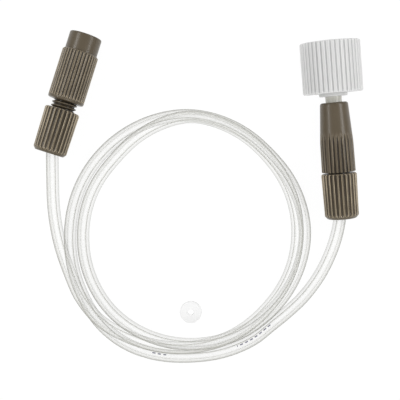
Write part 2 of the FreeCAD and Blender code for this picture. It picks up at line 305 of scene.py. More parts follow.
def eased_outline(knots: Sequence[Knot]) -> Grid:
    """Round the corners of a closed outline and divide its runs.

    Each corner becomes a quadratic curve from a point on the run before it, through the pull of the
    corner, to a point on the run after it.

    Args:
        knots: The corners in order around the outline.

    Returns:
        Rows of radius and height, counter-clockwise with radius to the right.
    """
    corners = np.array([[k.radius, k.height] for k in knots])
    before = np.roll(corners, 1, axis=0) - corners
    after = np.roll(corners, -1, axis=0) - corners
    before_length = np.linalg.norm(before, axis=1)
    after_length = np.linalg.norm(after, axis=1)
    ease = np.minimum([k.ease for k in knots], LONGEST_EASE * np.minimum(before_length, after_length))
    starts = corners + before * (ease / before_length)[:, None]
    ends = corners + after * (ease / after_length)[:, None]
    share = np.linspace(0.0, 1.0, CORNER_ROWS)[:, None]
    rows = []
    for i, knot in enumerate(knots):
        bend = (1 - share) ** 2 * starts[i] + 2 * share * (1 - share) * corners[i] + share**2 * ends[i]
        onward = starts[(i + 1) % len(knots)] - ends[i]
        count = max(1, math.ceil(np.linalg.norm(onward) / knot.step))
        run = ends[i] + onward * (np.arange(1, count) / count)[:, None]
        rows += [bend, run]
    outline = np.vstack(rows)
    turned = np.roll(outline, -1, axis=0)
    area = np.sum(outline[:, 0] * turned[:, 1] - turned[:, 0] * outline[:, 1])
    return outline if area > 0 else outline[::-1]


def ring_faces(rows: int, columns: int) -> NDArray[np.int32]:
    """Number the quads of a grid that closes on itself both ways.

    Args:
        rows: Rows of points.
        columns: Points in a row.

    Returns:
        Four point numbers for each quad, where point (i, j) has the number i x columns + j.
    """
    i, j = np.meshgrid(np.arange(rows), np.arange(columns), indexing="ij")
    next_i, next_j = (i + 1) % rows, (j + 1) % columns
    quads = [i * columns + j, i * columns + next_j, next_i * columns + next_j, next_i * columns + j]
    return np.stack(quads, axis=-1).reshape(-1, 4).astype(np.int32)


def ring_object(name: str, points: Grid, masks: dict[str, Grid]) -> bpy.types.Object:
    """Make a mesh object from a grid of points that closes on itself both ways.

    Args:
        name: The object's name.
        points: Rows by columns by 3, in metres.
        masks: Values for each point, kept as mesh attributes under their names.

    Returns:
        The object, at the origin, with its faces pointing outwards.
    """
    faces = ring_faces(*points.shape[:2])
    mesh = bpy.data.meshes.new(name)
    mesh.vertices.add(points.size // 3)
    mesh.vertices.foreach_set("co", points.astype(np.float32).ravel())
    mesh.loops.add(faces.size)
    mesh.loops.foreach_set("vertex_index", faces.ravel())
    mesh.polygons.add(len(faces))
    mesh.polygons.foreach_set("loop_start", np.arange(0, faces.size, 4, dtype=np.int32))
    mesh.polygons.foreach_set("use_smooth", np.ones(len(faces), dtype=bool))
    mesh.update(calc_edges=True)
    for mask, values in masks.items():
        attribute = mesh.attributes.new(mask, "FLOAT", "POINT")
        attribute.data.foreach_set("value", values.astype(np.float32).ravel())
    return new_object(name, mesh)


def even_centres(count: int, first: float = 0.5) -> tuple[float, ...]:
    """Middles of evenly spaced flutes; first is the share of a pitch before the first one."""
    return tuple((k + first) * 360.0 / count for k in range(count))


@dataclass(frozen=True)
class Coat:
    """A material and the slot of the record that it was made for."""

    slot: Slot
    material: bpy.types.Material


def dress(piece: bpy.types.Object, body: str, coat: Coat, *nodes: str) -> None:
    """Give a piece its finish and its body, let it stand for its nodes, and report it.

    Args:
        piece: The piece.
        body: The body that it rides on.
        coat: Its finish.
        nodes: The nodes that it stands for.
    """
    piece.data.materials.append(coat.material)
    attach(piece, body)
    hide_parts(*nodes)
    log.info("%s: %d faces on %s", piece.name, len(piece.data.polygons), body)


@dataclass(frozen=True)
class Turning:
    """A piece made by turning an outline around its axis, with its threads raised and flutes cut.

    It is named after the node that it stands for and its form, and rides on a body.
    """

    node: str
    form: str
    body: str
    seat: Seat
    knots: Sequence[Knot]
    columns: int
    flutes: Flutes | None = None
    threads: Sequence[Thread] = ()

    def build(self, coat: Coat) -> None:
        """Make and dress the piece.

        A point is at (r cos(a), r sin(a), h), where r is the outline's radius with the threads on
        it, less the flutes' depth. Two masks go with it. One is painted shade: the cut's share of the
        flutes' depth times their shade, or the depth in a thread's root. The other is a painted
        highlight: how much the radius bulges between its two neighbours around the axis times their
        shine.

        Args:
            coat: Its finish.
        """
        outline = eased_outline(self.knots)
        turn = np.arange(self.columns) / self.columns * FULL_TURN
        angle = np.broadcast_to(turn, (len(outline), self.columns))
        radius = np.broadcast_to(outline[:, :1], angle.shape).copy()
        height = np.broadcast_to(outline[:, 1:], angle.shape)
        # Masks of painted shade in thread roots and flute grooves, and of painted highlight on flute edges
        groove = np.zeros_like(radius)
        edge = np.zeros_like(radius)
        for thread in self.threads:
            radius, root = thread.raised(radius, height, angle)
            # Painted shade in the thread's roots
            groove = np.maximum(groove, root)
        if self.flutes:
            cutter = self.flutes.cutter
            cut = self.flutes.cut(radius, height, angle)
            radius = radius - cut
            # Painted shade in the flutes, deeper where the cut is deeper
            groove = np.maximum(groove, np.clip(cutter.shade * cut / cutter.depth, 0.0, 1.0))
            # Painted highlight where the radius bulges, on the flutes' edges
            bulge = 2.0 * radius - np.roll(radius, 1, axis=1) - np.roll(radius, -1, axis=1)
            edge = cutter.shine * np.clip(bulge / FULL_BULGE, 0.0, 1.0)
        points = self.seat.place(radius * np.cos(angle), radius * np.sin(angle), height)
        piece = ring_object(f"{self.node}_{self.form}", points, {"groove": groove, "edge": edge})
        dress(piece, self.body, coat, self.node)


# Finishes


class Bench:
    """Adds and joins the nodes of one material or node group."""

    def __init__(self, tree: bpy.types.NodeTree) -> None:
        """Clear the tree and keep it."""
        self.tree = tree
        tree.nodes.clear()

    def add(self, kind: str, feeds: Feeds | None = None, **settings: object) -> bpy.types.Node:
        """Add a node, set its own properties and feed its inputs.

        Args:
            kind: The node's type.
            feeds: A number, a colour or another node's output for each input by name or place.
            settings: The node's own properties.

        Returns:
            The node.
        """
        node = self.tree.nodes.new(kind)
        for key, value in settings.items():
            setattr(node, key, value)
        for key, value in (feeds or {}).items():
            socket = node.inputs[key]
            if isinstance(value, Socket):
                self.tree.links.new(value, socket)
            elif isinstance(value, tuple):
                socket.default_value = (*value, 1.0)[: len(socket.default_value)]
            else:
                socket.default_value = value
        return node

    def math(self, operation: str, first: Value, second: Value = 0.0) -> Socket:
        """Work out one value from two."""
        return self.add("ShaderNodeMath", {0: first, 1: second}, operation=operation).outputs[0]

    def blend(self, share: Value, first: Value, second: Value) -> Socket:
        """Mix two colours."""
        return self.add("ShaderNodeMix", {0: share, 6: first, 7: second}, data_type="RGBA").outputs[2]


def new_material(name: str) -> tuple[bpy.types.Material, Bench]:
    """Make an empty material.

    Args:
        name: The material's name.

    Returns:
        The material and the bench that fills it.
    """
    material = bpy.data.materials.new(name)
    material.use_nodes = True
    return material, Bench(material.node_tree)


def moulded_tone() -> bpy.types.NodeTree:
    """Build the group that all moulded plastics share.

    Slow noise drifts the colour between Base and Drift. The painted shade mask darkens it towards
    a colour of painted shade in grooves and thread roots, and the painted highlight mask, broken
    into patches by the slow noise, lightens it towards a highlight colour on the flutes' edges.
    Fine noise gives the roughness between its two limits and the height of the moulded skin.

    Returns:
        The node group, with the outputs Colour, Roughness and Height.
    """
    least_highlight = 0.25
    tree = bpy.data.node_groups.new("moulded_tone", "ShaderNodeTree")
    for way, kind, names in (
        ("INPUT", "NodeSocketColor", ("Base", "Drift", "Painted Shade Colour", "Painted Highlight Colour")),
        ("INPUT", "NodeSocketFloat", ("Patch Scale", "Grain Scale", "Smooth", "Rough")),
        ("OUTPUT", "NodeSocketColor", ("Colour",)),
        ("OUTPUT", "NodeSocketFloat", ("Roughness", "Height")),
    ):
        for name in names:
            tree.interface.new_socket(name=name, in_out=way, socket_type=kind)
    bench = Bench(tree)
    given = bench.add("NodeGroupInput").outputs
    place = bench.add("ShaderNodeTexCoord").outputs["Object"]
    patches, grain = (
        bench.add(
            "ShaderNodeTexNoise",
            {"Vector": place, "Scale": given[scale], "Detail": detail, "Roughness": roughness},
            noise_dimensions="3D",
        ).outputs["Fac"]
        for scale, detail, roughness in (("Patch Scale", 3.0, 0.5), ("Grain Scale", 4.0, 0.6))
    )
    groove, edge = (
        bench.add("ShaderNodeAttribute", attribute_name=mask).outputs["Fac"] for mask in ("groove", "edge")
    )
    # Painted highlight on the flutes' edges, broken into patches by the slow noise
    patchy_highlight = bench.math("MULTIPLY", edge, bench.math("ADD", patches, least_highlight))
    colour = bench.blend(patches, given["Base"], given["Drift"])
    # Painted shade darkens grooves and thread roots
    colour = bench.blend(groove, colour, given["Painted Shade Colour"])
    # Painted highlight lightens the flutes' edges
    colour = bench.blend(patchy_highlight, colour, given["Painted Highlight Colour"])
    spread = bench.math("SUBTRACT", given["Rough"], given["Smooth"])
    roughness = bench.math("ADD", given["Smooth"], bench.math("MULTIPLY", grain, spread))
    bench.add("NodeGroupOutput", {"Colour": colour, "Roughness": roughness, "Height": grain})
    return tree


@dataclass(frozen=True)
class MouldedFinish:
    """A moulded plastic: its colours, painted shade and highlight, gloss, skin and how light goes into it.
    """

    slot: Slot
    base: Colour
    drift: Colour
    # Colours of the painted shade in grooves and thread roots, and of the painted highlight on edges
    groove: Colour
    edge: Colour
    smooth: float
    rough: float
    patch_mm: float = 4.0
    grain_mm: float = 0.25
    skin_mm: float = 0.012
    skin_strength: float = 0.5
    glow: float = 0.0
    glow_mm: float = 0.6
    refraction: float = 1.5

    def build(self, tone: bpy.types.NodeTree) -> Coat:
        """Make the material.

        Args:
            tone: The group that moulded plastics share.

        Returns:
            The material with its slot.
        """
        material, bench = new_material(self.slot.value)
        feeds = {
            "Base": self.base,
            "Drift": self.drift,
            "Painted Shade Colour": self.groove,
            "Painted Highlight Colour": self.edge,
            "Patch Scale": 1.0 / (self.patch_mm * MM),
            "Grain Scale": 1.0 / (self.grain_mm * MM),
            "Smooth": self.smooth,
            "Rough": self.rough,
        }
        mixed = bench.add("ShaderNodeGroup", feeds, node_tree=tone).outputs
        feeds = {"Strength": self.skin_strength, "Distance": self.skin_mm * MM, "Height": mixed["Height"]}
        bump = bench.add("ShaderNodeBump", feeds)
        feeds = {
            "Base Color": mixed["Colour"],
            "Roughness": mixed["Roughness"],
            "Normal": bump.outputs["Normal"],
            "IOR": self.refraction,
            "Subsurface Weight": self.glow,
            "Subsurface Radius": (1.0, 1.0, 1.0),
            "Subsurface Scale": self.glow_mm * MM,
        }
        shader = bench.add("ShaderNodeBsdfPrincipled", feeds)
        bench.add("ShaderNodeOutputMaterial", {"Surface": shader.outputs["BSDF"]})
        return Coat(self.slot, material)


@dataclass(frozen=True)
class ClearFinish:
    """Clear extruded plastic with a few plain ink dashes.

    Seen square on it lets nearly all light through, and seen along its skin it turns grey, so that
    the outside and the bore each draw two soft lines. The piece's UV map holds the run along the
    tube in millimetres and the share of a turn around it, from its underside, plus 1 in the bore.
    """

    clear: Colour = linear(238, 238, 230)
    rim: Colour = linear(118, 117, 107)
    ink: Colour = linear(58, 56, 100)
    body: float = 0.025
    rim_body: float = 0.7
    rim_power: float = 1.12
    # Painted shade: how much darker the rim is on one side of the tube
    rim_side_shade: float = 0.45
    ink_body: float = 0.8
    refraction: float = 1.36
    smooth: float = 0.12
    rough: float = 0.24
    streak_mm: float = 14.0
    streaks: float = 5.0
    streak_depth: float = 0.5
    dash_mm: float = 1.45
    dash_share: float = 0.58
    dash_turn: float = 0.55
    dash_width: float = 0.016

    def build(self, inked: Sequence[Stretch]) -> Coat:
        """Make the material.

        The share of light that the skin stops is body + rim body x side x facing ^ power, where facing
        is 0 square on and 1 along the skin, and side is painted shade that makes the rim darker on one
        side of the tube. Long soft streaks from the drawing of the tube vary it.

        Args:
            inked: The stretches with dashes, as first and last run along the tube in millimetres.

        Returns:
            The material with its slot.
        """
        material, bench = new_material(Slot.TUBE.value)
        chart = bench.add("ShaderNodeUVMap", uv_map="run").outputs["UV"]
        run, turn, _ = bench.add("ShaderNodeSeparateXYZ", {0: chart}).outputs
        streak = self.streak(bench, run, turn)
        dashes = self.dash_mask(bench, run, turn, inked)
        facing = bench.add("ShaderNodeLayerWeight", {"Blend": 0.5}).outputs["Facing"]
        rim = bench.math("POWER", facing, self.rim_power)
        # Painted shade makes the rim darker on one side of the tube
        strength = bench.math("MULTIPLY", self.painted_side_shade(bench, turn), self.rim_body)
        stopped = bench.math("ADD", bench.math("MULTIPLY", rim, strength), self.body)
        varied = bench.math("MULTIPLY", streak, self.streak_depth)
        varied = bench.math("ADD", varied, 1.0 - 0.5 * self.streak_depth)
        stopped = bench.math("MULTIPLY", stopped, varied)
        inky = bench.math("MULTIPLY", dashes, self.ink_body)
        gloss = bench.math("MULTIPLY", streak, self.rough - self.smooth)
        feeds = {
            "Base Color": bench.blend(dashes, bench.blend(rim, self.clear, self.rim), self.ink),
            "Roughness": bench.math("ADD", gloss, self.smooth),
            "Alpha": bench.math("MAXIMUM", stopped, inky),
            "IOR": self.refraction,
        }
        shader = bench.add("ShaderNodeBsdfPrincipled", feeds)
        bench.add("ShaderNodeOutputMaterial", {"Surface": shader.outputs["BSDF"]})
        return Coat(Slot.TUBE, material)

    def painted_side_shade(self, bench: Bench, turn: Socket) -> Socket:
        """Work out the painted shade that makes the rim stronger and darker on one side of the tube.

        It is 1 + lean x cos(a), where a is the angle from the side that looks out of the turns on
        the outside, and from the side that looks into them in the bore.

        Args:
            bench: The material's bench.
            turn: The share of a turn around the tube.

        Returns:
            The strength of the rim.
        """
        angle = bench.math("MULTIPLY", bench.math("SUBTRACT", turn, QUARTER), FULL_TURN)
        in_bore = bench.math("GREATER_THAN", turn, 1.0)
        lean = bench.math("SUBTRACT", self.rim_side_shade, bench.math("MULTIPLY", in_bore, 2.0 * self.rim_side_shade))
        return bench.math("ADD", bench.math("MULTIPLY", bench.math("COSINE", angle), lean), 1.0)

    def streak(self, bench: Bench, run: Socket, turn: Socket) -> Socket:
        """Make noise that is long along the tube and narrow around it, on a circle without a seam.

        Args:
            bench: The material's bench.
            run: The run along the tube.
            turn: The share of a turn around the tube.

        Returns:
            The noise, from 0 to 1.
        """
        angle = bench.math("MULTIPLY", turn, FULL_TURN)
        across = self.streaks / math.pi
        feeds = {
            0: bench.math("DIVIDE", run, self.streak_mm),
            1: bench.math("MULTIPLY", bench.math("COSINE", angle), across),
            2: bench.math("MULTIPLY", bench.math("SINE", angle), across),
        }
        place = bench.add("ShaderNodeCombineXYZ", feeds).outputs[0]
        feeds = {"Vector": place, "Scale": 1.0, "Detail": 2.0}
        return bench.add("ShaderNodeTexNoise", feeds, noise_dimensions="3D").outputs["Fac"]

    def dash_mask(self, bench: Bench, run: Socket, turn: Socket, inked: Sequence[Stretch]) -> Socket:
        """Mask the dashes: 1 where the run's place in its dash pitch and the turn are both in range.

        Args:
            bench: The material's bench.
            run: The run along the tube.
            turn: The share of a turn around the tube.
            inked: The stretches with dashes.

        Returns:
            The mask.
        """
        place = bench.math("FRACT", bench.math("DIVIDE", run, self.dash_mm))
        in_dash = bench.math("LESS_THAN", place, self.dash_share)
        off_middle = bench.math("ABSOLUTE", bench.math("SUBTRACT", turn, self.dash_turn))
        in_line = bench.math("LESS_THAN", off_middle, self.dash_width)
        stretches = 0.0
        for first, last in inked:
            past_first = bench.math("GREATER_THAN", run, first)
            inside = bench.math("MULTIPLY", past_first, bench.math("LESS_THAN", run, last))
            stretches = bench.math("MAXIMUM", inside, stretches)
        return bench.math("MULTIPLY", bench.math("MULTIPLY", in_dash, in_line), stretches)


# In each finish below, the third colour is painted shade for grooves and thread roots, and the fourth a
# painted highlight for flute edges.
BROWN = MouldedFinish(
    Slot.BROWN,
    base=linear(95, 84, 67),
    drift=linear(85, 75, 58),
    groove=linear(46, 37, 24),
    edge=linear(206, 190, 162),
    smooth=0.24,
    rough=0.36,
)
FERRULE = MouldedFinish(
    Slot.FERRULE,
    base=linear(206, 190, 150),
    drift=linear(196, 178, 138),
    groove=linear(150, 134, 98),
    edge=linear(224, 210, 176),
    smooth=0.28,
    rough=0.42,
    glow=0.2,
)
PALE = MouldedFinish(
    Slot.PALE,
    base=linear(232, 231, 222),
    drift=linear(226, 225, 215),
    groove=linear(160, 158, 148),
    edge=linear(226, 225, 218),
    smooth=0.22,
    rough=0.34,
    glow=0.5,
    glow_mm=1.6,
)
WHITE = MouldedFinish(
    Slot.WHITE,
    base=linear(221, 221, 220),
    drift=linear(213, 213, 212),
    groove=linear(189, 189, 189),
    edge=linear(239, 239, 239),
    smooth=0.3,
    rough=0.44,
    glow=0.6,
    glow_mm=1.8,
)
WASHER = MouldedFinish(
    Slot.WASHER,
    base=linear(254, 254, 254),
    drift=linear(251, 251, 251),
    groove=linear(220, 220, 222),
    edge=linear(248, 248, 248),
    smooth=0.5,
    rough=0.62,
    glow=0.4,
    glow_mm=0.8,
)


# The fittings


@dataclass(frozen=True)
class TubePort:
    """A port for a tube nut, with the sizes that both ports and their nuts share.

    They are those of a quarter-inch stud on eighth-inch tube. What differs is how much of the stud
    is showing.
    """

    seat: Seat
    showing: float
    radius: float = 2.75
    countersink: float = 0.45
    channel_radius: float = 0.8
    stud_length: float = 8.0
    head_length: float = 11.5
    standoff: float = 3.0
    pitch: float = 0.907
    thread_rise: float = 0.47
    thread_spare: float = 0.9
    thread_lap: float = 0.01
    thread_step: float = 0.12

    @property
    def bottom(self) -> float:
        """Height of the port's bottom, which leaves room for the ferrule below the stud."""
        return -(self.stud_length - self.showing + self.standoff)

    @property
    def nut_end(self) -> float:
        """Height of the nut's far end."""
        return self.showing + self.head_length

    def knots(self) -> list[Knot]:
        """Outline from the channel at the port's bottom out of its mouth."""
        return [
            Knot(self.channel_radius, self.bottom),
            Knot(self.radius, self.bottom, step=self.thread_step),
            Knot(self.radius, -self.countersink, step=self.thread_step),
            Knot(self.radius + self.countersink, 0.0),
        ]

    def thread(self) -> Thread:
        """The thread in the port's wall, from a little below the stud's tip to the mouth."""
        low = -(self.stud_length - self.showing + self.thread_spare)
        return Thread(self.radius, self.thread_rise, self.pitch, low, self.thread_lap)


@dataclass(frozen=True)
class LeftAdapter:
    """Smooth collar on a fluted barrel, with a port at each end."""

    port: TubePort
    collar_radius: float = 4.14
    collar_length: float = 4.5
    collar_round: float = 0.42
    barrel_radius: float = 4.63
    barrel_length: float = 13.1
    barrel_bevel: float = 0.4
    barrel_round: float = 0.55
    cutter: Cutter = Cutter(radius=0.3, depth=0.25, tip=0.5)
    flute_count: int = 32
    flute_columns: int = 12
    plain_band: float = 0.75
    open_port_depth: float = 7.3
    open_thread_length: float = 6.4

    def knots(self) -> list[Knot]:
        """Draw the adapter from its port's bottom, up the outside and into the open port.

        Returns:
            The outline's corners in order.
        """
        port = self.port
        foot = -self.barrel_length
        top = foot - self.collar_length
        open_end = top + self.open_port_depth
        return [
            *port.knots(),
            Knot(self.barrel_radius, 0.0, ease=self.barrel_round),
            Knot(self.barrel_radius, foot + self.barrel_bevel, ease=0.1),
            Knot(self.barrel_radius - self.barrel_bevel, foot),
            Knot(self.collar_radius, foot, ease=0.02),
            Knot(self.collar_radius, top, ease=self.collar_round),
            Knot(port.radius + port.countersink, top),
            Knot(port.radius, top + port.countersink, step=port.thread_step),
            Knot(port.radius, open_end),
            Knot(port.channel_radius, open_end, step=COARSE),
        ]

    def build(self, coat: Coat) -> None:
        """Make and dress the adapter.

        Args:
            coat: Its finish.
        """
        port = self.port
        top = -self.barrel_length - self.collar_length
        open_thread = Thread(
            port.radius,
            port.thread_rise,
            port.pitch,
            low=top - port.thread_lap,
            high=top + self.open_thread_length,
            low_fade=0.05,
            high_fade=0.8,
        )
        flutes = Flutes(
            self.cutter,
            even_centres(self.flute_count),
            self.barrel_radius,
            low=-self.barrel_length - OVERRUN,
            high=-self.plain_band,
            high_end=FluteEnd.ROUND,
        )
        columns = self.flute_count * self.flute_columns
        threads = (port.thread(), open_thread)
        body = Turning("left_adapter", "moulding", "line", port.seat, self.knots(), columns, flutes, threads)
        body.build(coat)


@dataclass(frozen=True)
class TubeNut:
    """Fluted head on a hollow threaded stud, which presses the ferrule down."""

    port: TubePort
    side: str
    port_side_radius: float = 4.47
    outer_radius: float = 4.28
    bevel: float = 0.35
    end_band: float = 0.75
    end_bevel: float = 0.6
    cutter: Cutter = Cutter(radius=0.4, depth=0.34, tip=0.6, softness=0.03, shade=0.58, shine=1.3)
    flute_count: int = 24
    flute_lap: float = 0.1
    flute_columns: int = 16
    stud_radius: float = 2.65
    stud_taper: float = 0.15
    stud_lead: float = 0.3
    thread_rise: float = 0.54
    thread_relief: float = 0.08
    bore_radius: float = 1.7
    mouth_radius: float = 2.75
    flare_length: float = 5.5
    cone_radius: float = 2.255
    cone_floor: float = 1.98
    cone_depth: float = 1.4

    @property
    def tip(self) -> float:
        """Height of the stud's tip."""
        return self.port.showing - self.port.stud_length

    def knots(self) -> list[Knot]:
        """Draw the nut from the stud's tip up its outside, around the head and back down the bore.

        Returns:
            The outline's corners in order.
        """
        face = self.port.showing
        end = self.port.nut_end
        tip = self.tip
        return [
            Knot(self.cone_floor, tip + self.cone_depth, ease=SHARP),
            Knot(self.cone_radius, tip, ease=SHARP),
            Knot(self.stud_radius - self.stud_taper, tip, ease=SHARP),
            Knot(self.stud_radius, tip + self.stud_lead, ease=SHARP, step=self.port.thread_step),
            Knot(self.stud_radius, face, ease=SHARP),
            Knot(self.port_side_radius - self.bevel, face),
            Knot(self.port_side_radius, face + self.bevel),
            Knot(self.outer_radius, end - self.end_band, ease=0.1),
            Knot(self.outer_radius - self.end_bevel, end, ease=0.22),
            Knot(self.mouth_radius, end, ease=0.25),
            Knot(self.bore_radius, end - self.flare_length, step=COARSE),
            Knot(self.bore_radius, tip + self.cone_depth, ease=0.02),
        ]

    def build(self, coat: Coat) -> None:
        """Make and dress the nut.

        Args:
            coat: Its finish.
        """
        face = self.port.showing
        flutes = Flutes(
            self.cutter,
            even_centres(self.flute_count),
            self.outer_radius,
            low=face - OVERRUN,
            high=self.port.nut_end - self.end_band + self.flute_lap,
            high_end=FluteEnd.ROUND,
        )
        thread = Thread(
            self.stud_radius,
            self.thread_rise,
            self.port.pitch,
            low=self.tip + self.stud_lead,
            high=face - self.thread_relief,
            high_fade=0.12,
        )
        name = f"{self.side}_nut"
        columns = self.flute_count * self.flute_columns
        seat = self.port.seat
        Turning(name, "moulding", name, seat, self.knots(), columns, flutes, (thread,)).build(coat)


@dataclass(frozen=True)
class Ferrule:
    """Collared cone that is squeezed onto the tube at the port's bottom."""

    port: TubePort
    side: str
    radius: float = 2.6
    collar: float = 1.6
    cone_radius: float = 2.45
    tail_radius: float = 1.9
    cone_length: float = 2.8
    bore_radius: float = 1.61
    columns: int = 96

    def build(self, coat: Coat) -> None:
        """Make and dress the ferrule.

        Args:
            coat: Its finish.
        """
        bottom = self.port.bottom
        shoulder = bottom + self.collar
        tail = shoulder + self.cone_length
        knots = [
            Knot(self.bore_radius, bottom, ease=0.1),
            Knot(self.radius, bottom, ease=0.12),
            Knot(self.radius, shoulder, ease=0.1),
            Knot(self.cone_radius, shoulder, ease=SHARP),
            Knot(self.tail_radius, tail, ease=0.08),
            Knot(self.bore_radius, tail, ease=0.05),
        ]
        name = f"{self.side}_ferrule"
        Turning(name, "turned", name, self.port.seat, knots, self.columns).build(coat)


@dataclass(frozen=True)
class RightAdapter:
    """Shouldered body whose grooves run up from the nut in four groups."""

    port: TubePort
    length: float = 17.5
    top_radius: float = 3.48
    waist_radius: float = 4.16
    foot_radius: float = 4.25
    waist_height: float = 7.4
    shoulder_round: float = 0.9
    web: float = 1.6
    socket_radius: float = 2.03
    socket_taper: float = 0.03
    cutter: Cutter = Cutter(radius=0.3, depth=0.36, tip=2.8, shade=1.9, shine=0.5)
    groove_length: float = 10.4
    groove_pitch: float = 14.0
    grooves_in_group: int = 6
    groups: int = 4
    columns: int = 432

    @property
    def socket_depth(self) -> float:
        """Depth of the tapered socket, whose floor is a web above the port's bottom."""
        return self.length + self.port.bottom - self.web

    def centres(self) -> tuple[float, ...]:
        """Middles of the grooves: each group spreads evenly about a quarter point."""
        middle = (self.grooves_in_group - 1) / 2.0
        return tuple(
            g * 360.0 / self.groups + (k - middle) * self.groove_pitch
            for g in range(self.groups)
            for k in range(self.grooves_in_group)
        )

    def knots(self) -> list[Knot]:
        """Draw the adapter from its port's bottom, up the outside and into the socket.

        Returns:
            The outline's corners in order.
        """
        top = -self.length
        floor = top + self.socket_depth
        return [
            *self.port.knots(),
            Knot(self.foot_radius, 0.0, ease=0.1),
            Knot(self.waist_radius, -self.waist_height, ease=0.8),
            Knot(self.top_radius, top, ease=self.shoulder_round),
            Knot(self.socket_radius, top, ease=0.1, step=COARSE),
            Knot(self.socket_radius - self.socket_depth * self.socket_taper, floor),
            Knot(self.port.channel_radius, floor, step=COARSE),
        ]

    def build(self, coat: Coat) -> None:
        """Make and dress the adapter.

        Args:
            coat: Its finish.
        """
        port = self.port
        flutes = Flutes(
            self.cutter,
            self.centres(),
            self.foot_radius,
            low=-self.groove_length,
            high=OVERRUN,
            low_end=FluteEnd.ROUND,
        )
        threads = (port.thread(),)
        body = Turning(
            "right_adapter", "moulding", "line", port.seat, self.knots(), self.columns, flutes, threads
        )
        body.build(coat)


@dataclass(frozen=True)
class Swivel:
    """Flanged nipple in the adapter's socket, and the coupling nut that turns on it."""

    adapter: RightAdapter
    spare_depth: float = 0.4
    stem_radius: float = 2.075
    stem_taper: float = 0.03
    stem_showing: float = 1.5
    hub_radius: float = 3.55
    hub_height: float = 0.8
    clearance: float = 0.08
    back_wall: float = 2.2
    flange_radius: float = 5.3
    flange_thickness: float = 1.6
    nose_radius: float = 3.0
    nose_length: float = 1.2
    nipple_channel: float = 1.0
    nipple_columns: int = 128
    nut_radius: float = 7.5
    nut_length: float = 12.8
    nut_round: float = 0.6
    end_bevel: float = 0.45
    mouth_bevel: float = 0.5
    thread_radius: float = 6.0
    thread_rise: float = 0.55
    thread_pitch: float = 1.5
    relief_radius: float = 6.25
    relief_length: float = 3.0
    cutter: Cutter = Cutter(radius=0.28, depth=0.2, softness=0.035)
    flute_count: int = 40
    flute_columns: int = 12

    @property
    def back(self) -> float:
        """Height of the coupling nut's back face."""
        return -(self.adapter.length + self.stem_showing + self.hub_height)

    @property
    def relief_end(self) -> float:
        """Height at which the coupling nut's relief meets its thread."""
        return self.back - self.back_wall - self.relief_length

    def build_nipple(self, coat: Coat) -> None:
        """Make and dress the nipple.

        Args:
            coat: Its finish.
        """
        length = self.adapter.length
        inside = self.adapter.socket_depth - self.spare_depth
        tip = inside - length
        flange = self.back - self.back_wall - self.clearance
        face = flange - self.flange_thickness
        nose = face - self.nose_length
        small = self.stem_radius - (self.stem_showing + inside) * self.stem_taper
        knots = [
            Knot(self.nipple_channel, tip),
            Knot(small, tip, ease=0.1),
            Knot(self.stem_radius, -length - self.stem_showing, ease=0.3),
            Knot(self.stem_radius, flange, ease=SHARP),
            Knot(self.flange_radius, flange, ease=0.12),
            Knot(self.flange_radius, face, ease=0.12),
            Knot(self.nose_radius, face, ease=0.1),
            Knot(self.nose_radius, nose, ease=0.15),
            Knot(self.nipple_channel, nose, ease=0.15, step=COARSE),
        ]
        seat = self.adapter.port.seat
        Turning("swivel_nipple", "moulding", "line", seat, knots, self.nipple_columns).build(coat)

    def nut_knots(self) -> list[Knot]:
        """Draw the coupling nut: hole and hub, back, fluted wall, mouth, thread and relief.

        Returns:
            The outline's corners in order.
        """
        back = self.back
        end = back - self.nut_length
        inner = back - self.back_wall
        relief = self.relief_end
        hole = self.stem_radius + self.clearance
        return [
            Knot(hole, inner, ease=0.05),
            Knot(hole, back + self.hub_height, ease=0.1),
            Knot(self.hub_radius, back + self.hub_height, ease=0.45),
            Knot(self.hub_radius, back, ease=0.1),
            Knot(self.nut_radius, back, ease=self.nut_round, step=0.35),
            Knot(self.nut_radius, end, ease=self.end_bevel, step=0.5),
            Knot(self.thread_radius + self.mouth_bevel, end, ease=0.1),
            Knot(self.thread_radius, end + self.mouth_bevel, ease=SHARP, step=0.16),
            Knot(self.thread_radius, relief, ease=SHARP),
            Knot(self.relief_radius, relief, ease=SHARP),
            Knot(self.relief_radius, inner, ease=0.1),
        ]

    def build_nut(self, coat: Coat) -> None:
        """Make and dress the coupling nut.

        Args:
            coat: Its finish.
        """
        end = self.back - self.nut_length
        flutes = Flutes(
            self.cutter,
            even_centres(self.flute_count, first=0.0),
            self.nut_radius,
            low=end - OVERRUN,
            high=self.back + OVERRUN,
        )
        thread = Thread(
            self.thread_radius, self.thread_rise, self.thread_pitch, end, self.relief_end, low_fade=0.05
        )
        seat = self.adapter.port.seat
        columns = self.flute_count * self.flute_columns
        name = "coupling_nut"
        Turning(name, "moulding", name, seat, self.nut_knots(), columns, flutes, (thread,)).build(coat)


@dataclass(frozen=True)
class SealingWasher:
    """Loose washer, cut from sheet, that lies on the table inside the ring of turns."""

    radius: float = 2.8
    hole_radius: float = 0.8
    thickness: float = 1.0
    columns: int = 96

    def build(self, coat: Coat) -> None:
        """Make and dress the washer where its node lies.

        Args:
            coat: Its finish.
        """
        low, high = (np.array(corner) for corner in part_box("sealing_washer"))
        middle = (low + high) / 2.0
        seat = Seat(np.array([middle[0], middle[1], low[2]]), *np.eye(3))
        knots = [
            Knot(self.hole_radius, 0.0, ease=0.08),
            Knot(self.radius, 0.0, ease=0.12),
            Knot(self.radius, self.thickness, ease=0.18),
            Knot(self.hole_radius, self.thickness, ease=0.12),
        ]
        Turning("sealing_washer", "disc", "line", seat, knots, self.columns).build(coat)


# The clear tube


